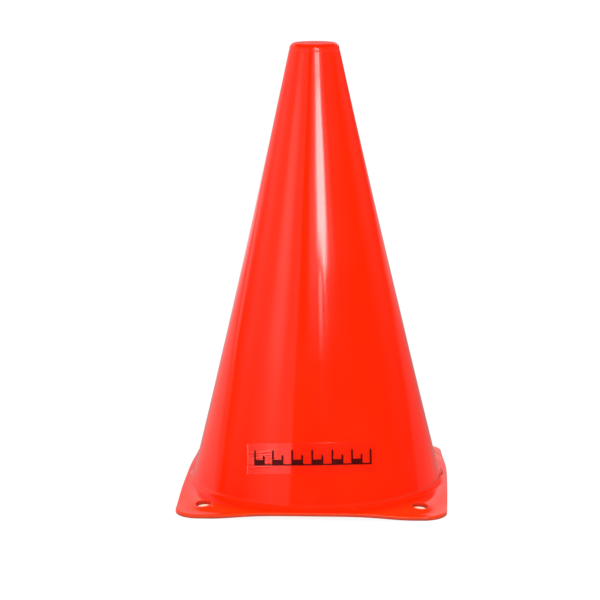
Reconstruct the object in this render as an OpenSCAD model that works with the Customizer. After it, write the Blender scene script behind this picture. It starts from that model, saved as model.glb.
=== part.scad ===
/* [Cone] */
// Height from the ground to the top of the crown
cone_h = 230; // [150:1:320]
// Radius of the wall's line at the height of the crown
crown_r = 12; // [9:0.1:20]
// Radius of the wall's line at the ground
foot_r = 65.7; // [56:0.1:80]
// How far the wall is drawn in at mid height
draw_in = 0.8; // [0:0.1:3]
// Thickness of the wall and of the crown
wall_t = 1.4; // [0.8:0.1:1.8]
// Radius of the shoulder between the wall and the crown
shoulder_r = 2.9; // [2.2:0.1:5]
// Radius of the crease between the wall and the flange
crease_r = 2.8; // [1:0.1:3.4]

/* [Groove under the crown] */
// Plain wall between the shoulder and the groove
groove_gap = 0.9; // [0.3:0.1:6]
// Height of the groove
groove_h = 0.6; // [0.3:0.1:1.5]
// Depth of the groove
groove_depth = 0.15; // [0.05:0.05:0.4]

/* [Flange] */
// How far the flats of the sides reach beyond the wall's line at the ground
flange_margin = 2.05; // [1.6:0.05:16]
// How far the middle of each side bows out
side_bow = 0.6; // [0:0.1:2]
// Radius of the corners
corner_r = 12.3; // [8:0.1:18]
// Thickness of the flange
flange_t = 2; // [1:0.1:2.4]
// Height of the flange's root above the ground that the corners rest on
root_rise = 1.8; // [0.5:0.1:5]
// How far beyond the wall's line at the ground the flange lies flat, before it slopes down
flat_l = 7; // [2:0.1:9]
// Length of the flat pad at each corner, along the diagonal
pad_l = 3.7; // [3:0.1:6]

/* [Corner holes] */
// Diameter of each hole
hole_d = 8; // [4:0.1:9]
// Distance from the flange's flats to the centre of each hole
hole_inset = 13.75; // [12.5:0.25:15.5]

/* [Label] */
// Width of the film
film_w = 68; // [64:1:80]
// Height of the film
film_h = 15.2; // [13:0.1:40]
// Height of the middle of the film's lower edge above the ground
film_z = 21.5; // [8:0.5:120]
// Thickness of the film
film_t = 0.15; // [0.1:0.05:0.4]
// Thickness of the glue between the wall and the film
glue_t = 0.05; // [0.05:0.05:0.2]

/* [Printed scale] */
// Distance between two marks
mark_pitch = 5; // [3:0.1:5.4]
// Number of spaces between marks
mark_spaces = 12; // [2:2:12]
// Width of each mark
mark_w = 0.9; // [0.4:0.1:1.5]
// Height of the long marks
long_mark_h = 7.5; // [5.5:0.1:8]
// Height of the short marks
short_mark_h = 5; // [3.5:0.1:7]
// Height of the filled blocks
block_h = 2.8; // [1:0.1:3.4]
// Height of the line under the marks
line_h = 0.6; // [0.3:0.1:0.9]
// Height of the scale's foot above the film's lower edge
scale_lift = 4.3; // [1:0.1:5]
// How far the scale sits to the right of the film's middle
scale_shift = 0.8; // [0:0.1:1]
// Thickness of the ink
ink_t = 0.05; // [0.05:0.05:0.2]

/* [Hidden] */

// How far every cut runs past what it cuts
overrun = 1;
// Room above and below the label in the ring that it is cut from
ring_margin = 6;

// Steps in the long curve of the wall, in the flange's slope, in a side and in the label's edges
wall_steps = 16;
slope_steps = 14;
side_steps = 10;
film_steps = 12;
// Steps in the small arcs of the shoulder and the crease, and in each corner
arc_steps = 8;
corner_steps = 16;
ring_faces = 144;
hole_faces = 48;

// Outer radius of the wall at a height, and how far the wall leans there
function wall_r(z) =
    let (share = z / cone_h)
    foot_r + (crown_r - foot_r) * share - 4 * draw_in * share * (1 - share);
function wall_lean(z) =
    let (share = z / cone_h)
    atan((foot_r - crown_r + 4 * draw_in * (1 - 2 * share)) / cone_h);
// Radius of a line that runs a given distance outside the wall
function beside_wall(z, away) = wall_r(z) + away / cos(wall_lean(z));
// A point on a circle of the profile
function on_arc(centre, radius, angle) = centre + radius * [cos(angle), sin(angle)];
// A point turned about the middle
function turned(p, angle) =
    [p[0] * cos(angle) - p[1] * sin(angle), p[0] * sin(angle) + p[1] * cos(angle)];

// Centre of the shoulder, which the wall and the crown touch
shoulder_z = cone_h - shoulder_r;
shoulder_lean = wall_lean(shoulder_z);
shoulder_mid = [beside_wall(shoulder_z, -shoulder_r), shoulder_z];
shoulder_end = on_arc(shoulder_mid, shoulder_r, shoulder_lean);
groove_top = shoulder_end[1] - groove_gap;
groove_bottom = groove_top - groove_h;

// Centre of the crease, outside the wall and above the flange's root
crease_z = root_rise + flange_t + crease_r;
crease_lean = wall_lean(crease_z);
crease_mid = [beside_wall(crease_z, crease_r), crease_z];
crease_end = on_arc(crease_mid, crease_r, 180 + crease_lean);

// Half width of the flange, its reach at the corners, and where its slope starts and meets the flat pads
half_w = foot_r + flange_margin;
corner_mid = half_w - corner_r;
corner_reach = corner_mid * sqrt(2) + corner_r;
slope_start = foot_r + flat_l;
pad_start = corner_reach - pad_l;
hole_place = half_w - hole_inset;

// Height of the flange's underside, level from the root and then an even S down to the pads
function underside(r) =
    let (share = min(max((r - slope_start) / (pad_start - slope_start), 0), 1))
    root_rise * (1 - share * share * (3 - 2 * share));

// Points of the half section, outside and inside
outer_wall = [for (i = [1 : wall_steps])
    let (z = crease_end[1] + (groove_bottom - crease_end[1]) * i / wall_steps)
    [wall_r(z), z]];
groove = [
    [beside_wall(groove_bottom + groove_h / 2, -groove_depth), groove_bottom + groove_h / 2],
    [wall_r(groove_top), groove_top]
];
shoulder_out = [for (i = [0 : arc_steps])
    on_arc(shoulder_mid, shoulder_r, shoulder_lean + (90 - shoulder_lean) * i / arc_steps)];
shoulder_in = [for (i = [arc_steps : -1 : 0])
    on_arc(shoulder_mid, shoulder_r - wall_t, shoulder_lean + (90 - shoulder_lean) * i / arc_steps)];
inner_wall = [for (i = [wall_steps - 1 : -1 : 1])
    let (z = crease_end[1] + (shoulder_z - crease_end[1]) * i / wall_steps)
    [beside_wall(z, -wall_t), z]];
crease_in = [for (i = [0 : arc_steps])
    let (share = i / arc_steps, depth = wall_t + (flange_t - wall_t) * share)
    on_arc(crease_mid, crease_r + depth, 180 + crease_lean + (90 - crease_lean) * share)];
crease_out = [for (i = [arc_steps : -1 : 0])
    on_arc(crease_mid, crease_r, 180 + crease_lean + (90 - crease_lean) * i / arc_steps)];
slope_radii = [for (i = [0 : slope_steps])
    slope_start + (pad_start - slope_start) * i / slope_steps];
slope_under = [for (r = slope_radii) [r, underside(r)]];
slope_over = [for (i = [slope_steps - 1 : -1 : 0])
    [slope_radii[i], underside(slope_radii[i]) + flange_t]];
rim = corner_reach + overrun;

// Half section of the whole moulding, its flange still round
module half_section() {
    polygon(concat(
        outer_wall, groove, shoulder_out, [[0, cone_h], [0, cone_h - wall_t]],
        shoulder_in, inner_wall, crease_in, slope_under, [[rim, 0], [rim, flange_t]],
        slope_over, crease_out
    ));
}

// Square outline of the flange, with bowed sides and round corners
module flange_outline() {
    polygon([for (turn = [0 : 90 : 270]) each concat(
        [for (i = [0 : side_steps])
            let (share = 2 * i / side_steps - 1)
            turned([half_w + side_bow * (1 - share * share), corner_mid * share], turn)],
        [for (i = [1 : corner_steps - 1])
            turned(on_arc([corner_mid, corner_mid], corner_r, 90 * i / corner_steps), turn)]
    )]);
}

module corner_holes() {
    for (x = [-hole_place, hole_place], y = [-hole_place, hole_place])
        translate([x, y, -overrun])
            cylinder(h = root_rise + flange_t + 2 * overrun, d = hole_d, $fn = hole_faces);
}

module cone_shell() {
    color([0.99, 0.16, 0.03])
        difference() {
            intersection() {
                rotate_extrude($fn = ring_faces)
                    half_section();
                linear_extrude(2 * cone_h, center = true)
                    flange_outline();
            }
            corner_holes();
        }
}

// The label lies flat on the wall, so its outline is drawn on the wall unrolled from its apex.
// Place of a point of the flat label, x to the right of its middle and y above its lower edge,
// as seen from the front
film_lean = wall_lean(film_z + film_h / 2);
film_slant = wall_r(film_z) / sin(film_lean);
function on_wall(x, y) =
    let (
        slant = norm([x, film_slant - y]),
        angle = atan(x / (film_slant - y)) / sin(film_lean)
    )
    [slant * sin(film_lean) * sin(angle), film_z + (film_slant - slant) * cos(film_lean)];

// A skin that starts a given distance outside the wall, cut by an outline seen from the front
module skin(away, thickness) {
    ring_bottom = film_z - ring_margin;
    ring_top = film_z + film_h + ring_margin;
    heights = [for (i = [0 : film_steps]) ring_bottom + (ring_top - ring_bottom) * i / film_steps];
    intersection() {
        rotate_extrude($fn = ring_faces)
            polygon(concat(
                [for (z = heights) [beside_wall(z, away + thickness), z]],
                [for (i = [film_steps : -1 : 0]) [beside_wall(heights[i], away), heights[i]]]
            ));
        rotate([90, 0, 0])
            linear_extrude(foot_r + away + thickness + overrun)
                children();
    }
}

module label_film() {
    places = [for (i = [0 : film_steps]) film_w * (i / film_steps - 1 / 2)];
    color([1, 0.55, 0.48, 0.45])
        skin(glue_t, film_t)
            polygon(concat(
                [for (x = places) on_wall(x, 0)],
                [for (i = [film_steps : -1 : 0]) on_wall(places[i], film_h)]
            ));
}

// Height of the print on either side of a mark, where each second space holds a filled block
function beside_mark(space) =
    space >= 0 && space < mark_spaces && space % 2 == 0 ? block_h : line_h;

module label_print() {
    marks = [for (i = [0 : mark_spaces]) scale_shift + mark_pitch * (i - mark_spaces / 2)];
    half_mark = mark_w / 2;
    color([0.13, 0.03, 0.03])
        skin(glue_t + film_t, ink_t)
            polygon(concat(
                [on_wall(marks[0] - half_mark, scale_lift)],
                [for (x = marks) on_wall(x, scale_lift)],
                [on_wall(marks[mark_spaces] + half_mark, scale_lift)],
                [for (i = [mark_spaces : -1 : 0]) each
                    let (mark_h = i % 2 == 0 ? long_mark_h : short_mark_h)
                    concat(
                        i == mark_spaces ? [] : [on_wall(marks[i] + half_mark, scale_lift + beside_mark(i))],
                        [on_wall(marks[i] + half_mark, scale_lift + mark_h)],
                        [on_wall(marks[i] - half_mark, scale_lift + mark_h)],
                        i == 0 ? [] : [on_wall(marks[i] - half_mark, scale_lift + beside_mark(i - 1))]
                    )]
            ));
}

cone_shell();
label_film();
label_print();
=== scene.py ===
"""Looks of the hollow training cone: its moulding, its clear label and the plain scale printed on it."""

import logging
import math
from collections.abc import Callable, Sequence
from dataclasses import dataclass, field
from enum import Enum

import bmesh
import bpy
from mathutils import Matrix, Vector


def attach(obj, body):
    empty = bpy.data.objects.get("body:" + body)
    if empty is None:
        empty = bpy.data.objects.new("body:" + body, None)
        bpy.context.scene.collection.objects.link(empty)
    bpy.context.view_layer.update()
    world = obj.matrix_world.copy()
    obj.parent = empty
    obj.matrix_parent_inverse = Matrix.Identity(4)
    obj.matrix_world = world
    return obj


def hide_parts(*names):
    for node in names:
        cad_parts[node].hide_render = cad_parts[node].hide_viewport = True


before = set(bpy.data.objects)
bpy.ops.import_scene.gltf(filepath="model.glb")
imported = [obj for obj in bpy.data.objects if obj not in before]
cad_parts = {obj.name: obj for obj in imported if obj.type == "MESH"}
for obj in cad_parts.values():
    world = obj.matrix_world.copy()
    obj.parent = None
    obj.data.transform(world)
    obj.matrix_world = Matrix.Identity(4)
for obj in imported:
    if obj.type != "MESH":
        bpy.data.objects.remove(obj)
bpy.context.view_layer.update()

LOG = logging.getLogger("cone")
BODY = "root"
MM = 0.001
QUARTER_TURN = math.pi / 2
WHITE = (1, 1, 1, 1)
# Places of the factor and the two colours among a Mix node's inputs, and of the colour among its outputs
COLOUR_MIX_INPUTS = (0, 6, 7)
COLOUR_MIX_OUTPUT = 2

Point = tuple[float, float, float]
Flat = tuple[float, float]
Colour = tuple[float, float, float, float]
Socket = bpy.types.NodeSocket
Given = float | tuple[float, ...] | Socket


class Slot(Enum):
    """Material slots of the record that the pieces take their finish from."""

    SHELL = "shell"
    FILM = "film"
    INK = "ink"


class Side(Enum):
    """The two faces of a thin plate, each with the direction that leads from it into the plate."""

    TOP = -1
    UNDER = 1


def smooth_share(value: float, start: float, end: float) -> float:
    """Rises evenly from 0 at start to 1 at end, flat at both.

    Args:
        value: Where to read the curve.
        start: Value at and before which it is 0.
        end: Value at and after which it is 1.

    Returns:
        The share between 0 and 1.
    """
    share = min(max((value - start) / (end - start), 0.0), 1.0)
    return share * share * (3 - 2 * share)


def between(one: Sequence[float], other: Sequence[float], share: float) -> tuple[float, ...]:
    """A point a given share of the way from one point to another."""
    return tuple(a + (b - a) * share for a, b in zip(one, other))


def on_arc(centre: Flat, radius: float, angle: float) -> Flat:
    """A point on a circle."""
    return centre[0] + radius * math.cos(angle), centre[1] + radius * math.sin(angle)


@dataclass(frozen=True)
class Wave:
    """One long wave that the soft wall bulges in.

    Its height is in millimetres. It has so many waves up to each wave length of the wall and so many around
    to each turn, and starts at an angle in radians.
    """

    height: float
    up: float
    around: float
    start: float = 0.0


@dataclass(frozen=True)
class ConeWall:
    """The long wall of the cone, as the part's source draws it, and the faint unevenness of a soft moulding.

    All lengths are in millimetres.
    """

    height: float = 230
    crown_radius: float = 12
    foot_radius: float = 65.7
    draw_in: float = 0.8
    thickness: float = 1.4
    wave_length: float = 74
    waves: tuple[Wave, ...] = (
        Wave(0.016, 1, 2), Wave(0.0096, 1.7, -1, 1), Wave(0.012, 0.4, 5), Wave(0.0084, -0.9, 11, 2),
    )
    still_foot: float = 12
    still_crown: float = 10
    crown_shift: float = -0.28
    shift_span: Flat = (100, 205)

    def radius(self, z: float) -> float:
        """Radius of the outside at a height.

        Args:
            z: Height above the ground.

        Returns:
            The radius, drawn in a little at mid height.
        """
        share = z / self.height
        straight = self.foot_radius + (self.crown_radius - self.foot_radius) * share
        return straight - 4 * self.draw_in * share * (1 - share)

    def lean(self, z: float) -> float:
        """Angle between the wall and the axis at a height."""
        fall = self.foot_radius - self.crown_radius + 4 * self.draw_in * (1 - 2 * z / self.height)
        return math.atan(fall / self.height)

    def beside(self, z: float, away: float) -> float:
        """Radius of a line that runs a given distance outside the wall."""
        return self.radius(z) + away / math.cos(self.lean(z))

    def unevenness(self, turn: float, z: float) -> float:
        """How far the moulded wall swells out at a place, none at its two ends.

        Args:
            turn: Angle round the axis, from +X towards +Y.
            z: Height above the ground.

        Returns:
            The swelling in millimetres.
        """
        top = self.height - self.still_crown
        ends = smooth_share(z, 0, self.still_foot) * (1 - smooth_share(z, top - self.still_crown, top))
        along = 2 * math.pi * z / self.wave_length
        return ends * sum(w.height * math.sin(w.up * along + w.around * turn + w.start) for w in self.waves)

    def place(self, turn: float, z: float, away: float) -> Point:
        """A point a given distance outside the wall, its unevenness included."""
        return self.around(turn, self.beside(z, away + self.unevenness(turn, z)), z)

    def around(self, turn: float, radius: float, z: float) -> Point:
        """A point round the cone's line of middles, which leans a little to the left near the crown."""
        shift = self.crown_shift * smooth_share(z, *self.shift_span)
        return radius * math.cos(turn) + shift, radius * math.sin(turn), z


class PieceMesh:
    """Collects the points and faces of one piece, and makes a Blender object of them."""

    def __init__(self, name: str) -> None:
        """Starts an empty mesh.

        Args:
            name: Name of the piece and of its mesh.
        """
        self.name = name
        self.points: list[Point] = []
        self.faces: list[tuple[int, ...]] = []
        self.hard_rings: list[list[int]] = []

    def ring(self, points: Sequence[Point]) -> list[int]:
        """Adds a row of points.

        Args:
            points: The points in millimetres.

        Returns:
            Their numbers in the mesh.
        """
        first = len(self.points)
        self.points.extend(points)
        return list(range(first, len(self.points)))

    def rings(self, rows: Sequence[Sequence[Point]]) -> list[list[int]]:
        """Adds rows of points, and gives the numbers of each."""
        return [self.ring(points) for points in rows]

    def bridge(
        self, one: Sequence[int], other: Sequence[int], closed: bool = True,
        skip: Callable[[int], bool] = lambda step: False,
    ) -> None:
        """Joins two rows of as many points with four-sided faces.

        Args:
            one: Numbers of the first row's points.
            other: Numbers of the second row's points.
            closed: Whether the rows close on themselves.
            skip: Says for which steps along the rows no face is made.
        """
        count = len(one)
        for step in range(count if closed else count - 1):
            if not skip(step):
                after = (step + 1) % count
                self.faces.append((one[step], one[after], other[after], other[step]))

    def chain(self, rings: Sequence[Sequence[int]], closed: bool = True) -> None:
        """Joins each of some rows to the next."""
        for one, other in zip(rings, rings[1:]):
            self.bridge(one, other, closed)

    def close(self, ring: Sequence[int], middle: Point) -> None:
        """Closes a ring with a fan of faces round one middle point."""
        centre = self.ring([middle])[0]
        self.faces.extend((ring[i], ring[(i + 1) % len(ring)], centre) for i in range(len(ring)))

    def build(self, smooth: bool = True) -> bpy.types.Object:
        """Makes the object, in metres. Its faces all look outwards, and its hard rings have hard edges.

        Args:
            smooth: Whether the faces are shaded as one smooth surface.

        Returns:
            The new object, linked to the scene.
        """
        mesh = bpy.data.meshes.new(self.name)
        mesh.from_pydata([tuple(c * MM for c in p) for p in self.points], [], self.faces)
        work = bmesh.new()
        work.from_mesh(mesh)
        bmesh.ops.recalc_face_normals(work, faces=work.faces)
        work.verts.ensure_lookup_table()
        for ring in self.hard_rings:
            for i, number in enumerate(ring):
                work.edges.get((work.verts[ring[i - 1]], work.verts[number])).smooth = False
        work.to_mesh(mesh)
        work.free()
        mesh.polygons.foreach_set("use_smooth", [smooth] * len(mesh.polygons))
        mesh.update()
        piece = bpy.data.objects.new(self.name, mesh)
        bpy.context.scene.collection.objects.link(piece)
        return piece


@dataclass(frozen=True)
class Flange:
    """The square dished foot: its outline, its slope and the rounding of its rims, in millimetres."""

    foot_radius: float = ConeWall.foot_radius
    margin: float = 2.05
    side_bow: float = 0.6
    corner_radius: float = 12.3
    thickness: float = 2
    root_rise: float = 1.8
    flat_length: float = 7
    pad_length: float = 3.7
    hole_diameter: float = 8
    hole_inset: float = 13.75
    top_rim: float = 0.6
    under_rim: float = 0.45
    hole_rim: float = 0.3
    rim_steps: int = 5
    rows: int = 18
    first_row: float = 0.15
    side_steps: int = 16
    corner_steps: int = 14
    side_crowding: float = 0.35
    warp: float = 2.1
    warp_lift: float = 0.6
    warp_span: Flat = (8, 60)
    front_warp: Flat = (0.25, 0.45)
    hole_draft: float = 0.3
    hole_lip: float = 0.35
    edge_sooner: Flat = (3.7, 2.2)
    edge_reach: float = 9
    bulge: float = 0.6
    bulge_reach: float = 8.5

    @property
    def octant(self) -> int:
        """Number of steps round an eighth of the outline."""
        return self.side_steps + self.corner_steps

    @property
    def around(self) -> int:
        """Number of steps round the whole cone."""
        return 8 * self.octant

    @property
    def half_width(self) -> float:
        """Distance from the axis to the flats of the sides."""
        return self.foot_radius + self.margin

    @property
    def corner_middle(self) -> float:
        """Distance of each corner's centre from the middle planes."""
        return self.half_width - self.corner_radius

    @property
    def corner_reach(self) -> float:
        """Distance from the axis to the tips of the corners."""
        return self.corner_middle * math.sqrt(2) + self.corner_radius

    @property
    def hole_place(self) -> float:
        """Distance of each hole's centre from the middle planes."""
        return self.half_width - self.hole_inset

    def eighth(self, step: int) -> Flat:
        """A point of the outline between the middle of a side and the tip of a corner.

        Args:
            step: Step from the middle of the +X side, up to octant.

        Returns:
            The point in the plane.
        """
        middle = self.corner_middle
        if step <= self.side_steps:
            part = step / self.side_steps
            share = part * (1 + self.side_crowding * (1 - part))
            return self.half_width + self.side_bow * (1 - share * share), middle * share
        angle = QUARTER_TURN / 2 * (step - self.side_steps) / self.corner_steps
        return on_arc((middle, middle), self.corner_radius, angle)

    def warp_share(self, x: float, y: float) -> float:
        """Share of the back right corner's warp at a place: 1 at that corner and 0 at the other three."""
        return smooth_share(x, *self.warp_span) * smooth_share(y, *self.warp_span)

    def warped(self, x: float, y: float) -> Flat:
        """Draws a point in where the back right corner has warped, and out at the front left one."""
        back, front = self.warp * self.warp_share(x, y), self.warp_share(-x, -y)
        return x - back - self.front_warp[0] * front, y - self.front_warp[1] * front

    def outline(self) -> list[tuple[Flat, Flat]]:
        """The whole outline, from the middle of the +X side on, anticlockwise.

        Returns:
            Each point with the outward direction there.
        """
        points: list[Flat] = []
        for quarter in range(4):
            half = [self.eighth(i) for i in range(self.octant)]
            other = [self.eighth(i)[::-1] for i in range(self.octant, 0, -1)]
            turn = Matrix.Rotation(quarter * QUARTER_TURN, 2)
            points.extend(self.warped(*(turn @ Vector(p))) for p in half + other)
        found = []
        for i, point in enumerate(points):
            before, after = Vector(points[i - 1]), Vector(points[(i + 1) % len(points)])
            along = (after - before).normalized()
            found.append((point, (along.y, -along.x)))
        return found

    def drawn_in(self, back: float) -> list[Flat]:
        """The outline, moved in by a given distance."""
        return [(x - nx * back, y - ny * back) for (x, y), (nx, ny) in self.outline()]

    def rounding(self, radius: float, lip: float = 0.0) -> list[Flat]:
        """Steps of the quarter round of a rim.

        Args:
            radius: Radius of the round.
            lip: How far the rim stands out beyond its face.

        Returns:
            For each step its distance back from the upright edge and into the plate from the face.
        """
        steps = []
        for step in range(1, self.rim_steps + 1):
            angle = QUARTER_TURN * step / self.rim_steps
            drop = radius * (1 - math.cos(angle)) - lip * math.sin(angle)
            steps.append((radius * (1 - math.sin(angle)), drop))
        return steps


@dataclass(frozen=True)
class Crown:
    """The shoulder, the groove under it and the flat crown, in millimetres."""

    shoulder_radius: float = 2.9
    groove_gap: float = 0.9
    groove_height: float = 0.6
    groove_depth: float = 0.15
    groove_side: float = 0.6
    groove_lip: float = 0.12
    dome: float = 0.2
    flat_shares: tuple[float, ...] = (0.92, 0.7, 0.45, 0.2, 0.06)
    steps: int = 12


@dataclass
class Moulding:
    """The one-piece moulding: crown, wall, crease, flange and corner holes, open underneath."""

    name: str = "cone_moulding"
    wall: ConeWall = field(default_factory=ConeWall)
    flange: Flange = field(default_factory=Flange)
    crown: Crown = field(default_factory=Crown)
    crease_radius: float = 2.8
    crease_flatness: float = 0.7
    crease_steps: int = 10
    wall_rows: int = 76
    inner_rows: int = 40
    hole_span: int = 6
    hole_rows: tuple[int, int] = (3, 13)
    hole_rings: int = 4

    def crease_middle(self) -> Flat:
        """Centre of the round between the wall and the flange, as radius and height."""
        z = self.flange.root_rise + self.flange.thickness + self.crease_radius
        return self.wall.beside(z, self.crease_radius), z

    def crease_end(self) -> Flat:
        """Where the crease's round meets the wall, as radius and height."""
        middle = self.crease_middle()
        return on_arc(middle, self.crease_radius, math.pi + self.wall.lean(middle[1]))

    def shoulder(self) -> tuple[Flat, float]:
        """Centre of the shoulder's round, as radius and height, and the wall's lean there."""
        z = self.wall.height - self.crown.dome - self.crown.shoulder_radius
        return (self.wall.beside(z, -self.crown.shoulder_radius), z), self.wall.lean(z)

    def underside(self, x: float, y: float) -> float:
        """Height of the flange's underside, level from the root and then an even S down to the corner pads.

        The slope starts a little sooner along the edges, and the soft plate bulges up round its holes.

        Args:
            x: Distance to the right of the axis.
            y: Distance behind the axis.

        Returns:
            The height in millimetres.
        """
        flange = self.flange
        inset = flange.half_width - max(abs(x), abs(y))
        sooner = 1 - smooth_share(inset, 0, flange.edge_reach)
        start = flange.foot_radius + flange.flat_length - flange.edge_sooner[0] * sooner
        end = flange.corner_reach - flange.pad_length - flange.edge_sooner[1] * sooner
        away = math.hypot(abs(x) - flange.hole_place, abs(y) - flange.hole_place) / flange.bulge_reach
        slope = flange.root_rise * (1 - smooth_share(math.hypot(x, y), start, end))
        return slope + flange.bulge * math.exp(-away * away)

    def level(self, x: float, y: float, side: Side) -> float:
        """Height of one face of the flange at a place, with the lift of its warped corner."""
        lift = self.flange.warp_lift * self.flange.warp_share(x, y)
        return self.underside(x, y) + lift + (self.flange.thickness if side is Side.TOP else 0)

    def settled(self, row: Sequence[Flat], side: Side, drop: float = 0.0) -> list[Point]:
        """Lays a row of points on one face of the flange, or a given drop into the plate from it."""
        return [(x, y, self.level(x, y, side) + side.value * drop) for x, y in row]

    def turns(self) -> list[float]:
        """Angles of the points round the wall, from the middle of the +X side on."""
        return [2 * math.pi * i / self.flange.around for i in range(self.flange.around)]

    def circle(self, radius: float, z: float) -> list[Point]:
        """A plain circle of points."""
        return [self.wall.around(t, radius, z) for t in self.turns()]

    def wall_circle(self, z: float, away: float) -> list[Point]:
        """A circle of points beside the wall, its unevenness included."""
        return [self.wall.place(t, z, away) for t in self.turns()]

    def crown_level(self, share: float) -> float:
        """Height of the crown's top, which is a very flat dome."""
        return self.wall.height - self.crown.dome * share * share

    def crown_rings(self, inset: float) -> list[list[Point]]:
        """Rings of the shoulder and the crown.

        Args:
            inset: Depth inside the plastic.

        Returns:
            The rings, from the wall to the middle.
        """
        crown = self.crown
        centre, lean = self.shoulder()
        rings = []
        for step in range(crown.steps + 1):
            angle = lean + (QUARTER_TURN - lean) * step / crown.steps
            rings.append(self.circle(*on_arc(centre, crown.shoulder_radius - inset, angle)))
        for share in crown.flat_shares:
            rings.append(self.circle(centre[0] * share, self.crown_level(share) - inset))
        return rings

    def outer_rings(self) -> list[list[Point]]:
        """Rings of the outside, from the crown's flat down to the crease.

        Returns:
            The rings in order.
        """
        crown = self.crown
        centre, lean = self.shoulder()
        top = on_arc(centre, crown.shoulder_radius, lean)[1] - crown.groove_gap
        bottom, lip, side = top - crown.groove_height, crown.groove_lip, crown.groove_side
        groove = (
            (top + 2 * lip, 0), (top + lip, 0), (top, 0), (top - lip, side),
            ((top + bottom) / 2, 1),
            (bottom + lip, side), (bottom, 0), (bottom - lip, 0), (bottom - 2 * lip, 0),
        )
        rings = self.crown_rings(0)[::-1]
        rings += [self.wall_circle(z, -depth * crown.groove_depth) for z, depth in groove]
        start, end = bottom - 4 * lip, self.crease_end()[1]
        heights = [start + (end - start) * i / self.wall_rows for i in range(self.wall_rows + 1)]
        return rings + [self.wall_circle(z, 0) for z in heights]

    def inner_rings(self) -> list[list[Point]]:
        """Rings of the inside, from the crease up to the crown.

        Returns:
            The rings in order.
        """
        start, end = self.crease_end()[1], self.shoulder()[0][1]
        heights = [start + (end - start) * i / self.inner_rows for i in range(self.inner_rows)]
        rings = [self.wall_circle(z, -self.wall.thickness) for z in heights]
        return rings + self.crown_rings(self.wall.thickness)

    def crease_rings(self, side: Side) -> list[list[Point]]:
        """Rings of the crease, from the wall down to the flange.

        Args:
            side: The outside or the inside of the crease.

        Returns:
            The rings in order, the first and the last left to the pieces they meet.
        """
        centre = self.crease_middle()
        lean = self.wall.lean(centre[1])
        top, foot = self.crease_end(), (centre[0], centre[1] - self.crease_radius)
        rings = []
        for step in range(1, self.crease_steps):
            share = step / self.crease_steps
            angle = math.pi + lean + (QUARTER_TURN - lean) * share
            if side is Side.TOP:
                chord = between(top, foot, share)
                place = between(on_arc(centre, self.crease_radius, angle), chord, self.crease_flatness)
            else:
                depth = self.wall.thickness + (self.flange.thickness - self.wall.thickness) * share
                place = on_arc(centre, self.crease_radius + depth, angle)
            rings.append(self.circle(*place))
        return rings

    def flange_rows(self, side: Side, rim: float) -> list[list[Point]]:
        """Rows of one face of the flange, from the crease out to where its rim starts to turn.

        Args:
            side: The face.
            rim: Radius of the rim's rounding.

        Returns:
            The rows in order, each with its heights.
        """
        start, flange = self.crease_middle()[0], self.flange
        starts = [on_arc((0, 0), start, turn) for turn in self.turns()]
        ends = flange.drawn_in(rim)
        rows = []
        for row in range(flange.rows + 1):
            share = row / flange.rows * (flange.first_row if row == 1 else 1)
            flat = [between(one, other, share) for one, other in zip(starts, ends)]
            rows.append(self.settled(flat, side))
        return rows

    def rim_rows(self, side: Side, rim: float) -> list[list[Point]]:
        """Rows round the rim of the flange, from its face to its upright edge."""
        steps = self.flange.rounding(rim)
        return [self.settled(self.flange.drawn_in(back), side, drop) for back, drop in steps]

    def holes(self) -> list[tuple[int, Flat]]:
        """Each corner hole.

        Returns:
            Step number of each corner round the outline, with the centre of its hole.
        """
        place, octant = self.flange.hole_place, self.flange.octant
        signs = ((1, 1), (-1, 1), (-1, -1), (1, -1))
        return [(octant * (2 * q + 1), (place * sx, place * sy)) for q, (sx, sy) in enumerate(signs)]

    def in_patch(self, row: int, step: int) -> bool:
        """Whether a face of the flange's rows lies where a corner hole's own faces go."""
        near = any(corner - self.hole_span <= step < corner + self.hole_span for corner, _ in self.holes())
        return near and self.hole_rows[0] <= row < self.hole_rows[1]

    def patch_edge(self, rows: Sequence[Sequence[int]], corner: int) -> list[int]:
        """Numbers of the points round the gap left for a hole, anticlockwise seen from above.

        Args:
            rows: Numbers of the points of each row of the flange's face.
            corner: Step number of the corner.

        Returns:
            The points' numbers.
        """
        (low, high), span = self.hole_rows, self.hole_span
        inner = [rows[low][corner + i] for i in range(-span, span)]
        left = [rows[j][corner + span] for j in range(low, high)]
        outer = [rows[high][corner + i] for i in range(span, -span, -1)]
        right = [rows[j][corner - span] for j in range(high, low, -1)]
        return (inner + left + outer + right)[::-1]

    def hole_ring(self, centre: Flat, edge: Sequence[Point], radius: float, share: float) -> list[Flat]:
        """A ring between the gap's edge and a circle round the hole.

        Args:
            centre: Centre of the hole.
            edge: Points round the gap.
            radius: Radius of the circle.
            share: 0 gives the circle and 1 the edge.

        Returns:
            The ring's points in the plane.
        """
        first = math.atan2(edge[0][1] - centre[1], edge[0][0] - centre[0])
        ring = []
        for i, (x, y, _) in enumerate(edge):
            angle = first + 2 * math.pi * i / len(edge)
            ring.append(between(on_arc(centre, radius, angle), (x, y), share))
        return ring

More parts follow.
